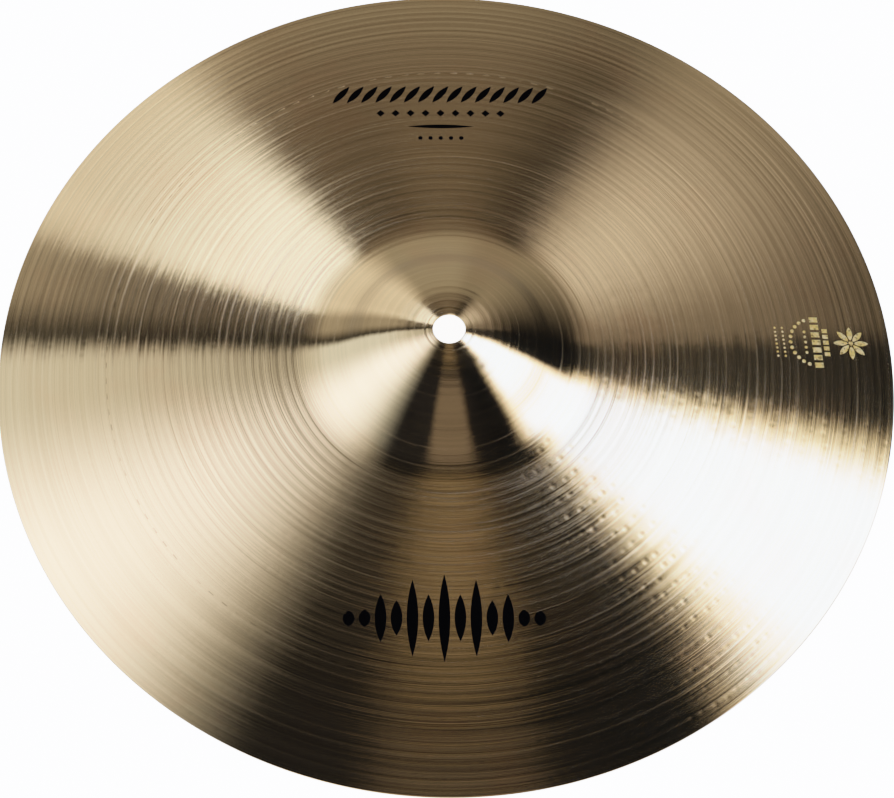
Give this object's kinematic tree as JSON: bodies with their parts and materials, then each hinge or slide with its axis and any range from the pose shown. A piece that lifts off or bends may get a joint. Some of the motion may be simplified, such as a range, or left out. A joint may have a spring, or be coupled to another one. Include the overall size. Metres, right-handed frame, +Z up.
{
  "type": "suspended cymbal",
  "caption": "Thin dished disc of hammered and lathed bronze with a raised bell and a centre hole, hung from a strap or a stand and struck.",
  "frame": {"origin": "centre of the rim plane, on the axis of the centre hole, with the cymbal lying dome up on its rim", "axes": "+Z up along the centre hole, from the rim plane to the bell; -Y towards the larger printed mark and +X towards the gold stamp"},
  "size_m": [0.3556, 0.3556, 0.0336],
  "materials": {
    "bronze": "lathed, with fine circular grooves and hammer marks, traditional satin-bright finish",
    "print_ink": "thin black screen-printed ink, low sheen",
    "gold_foil": "thin bright gold stamp"
  },
  "bodies": {
    "root": {"cymbal": "bronze", "lower_print": "print_ink", "upper_print": "print_ink", "gold_stamp": "gold_foil"}
  },
  "joints": []
}
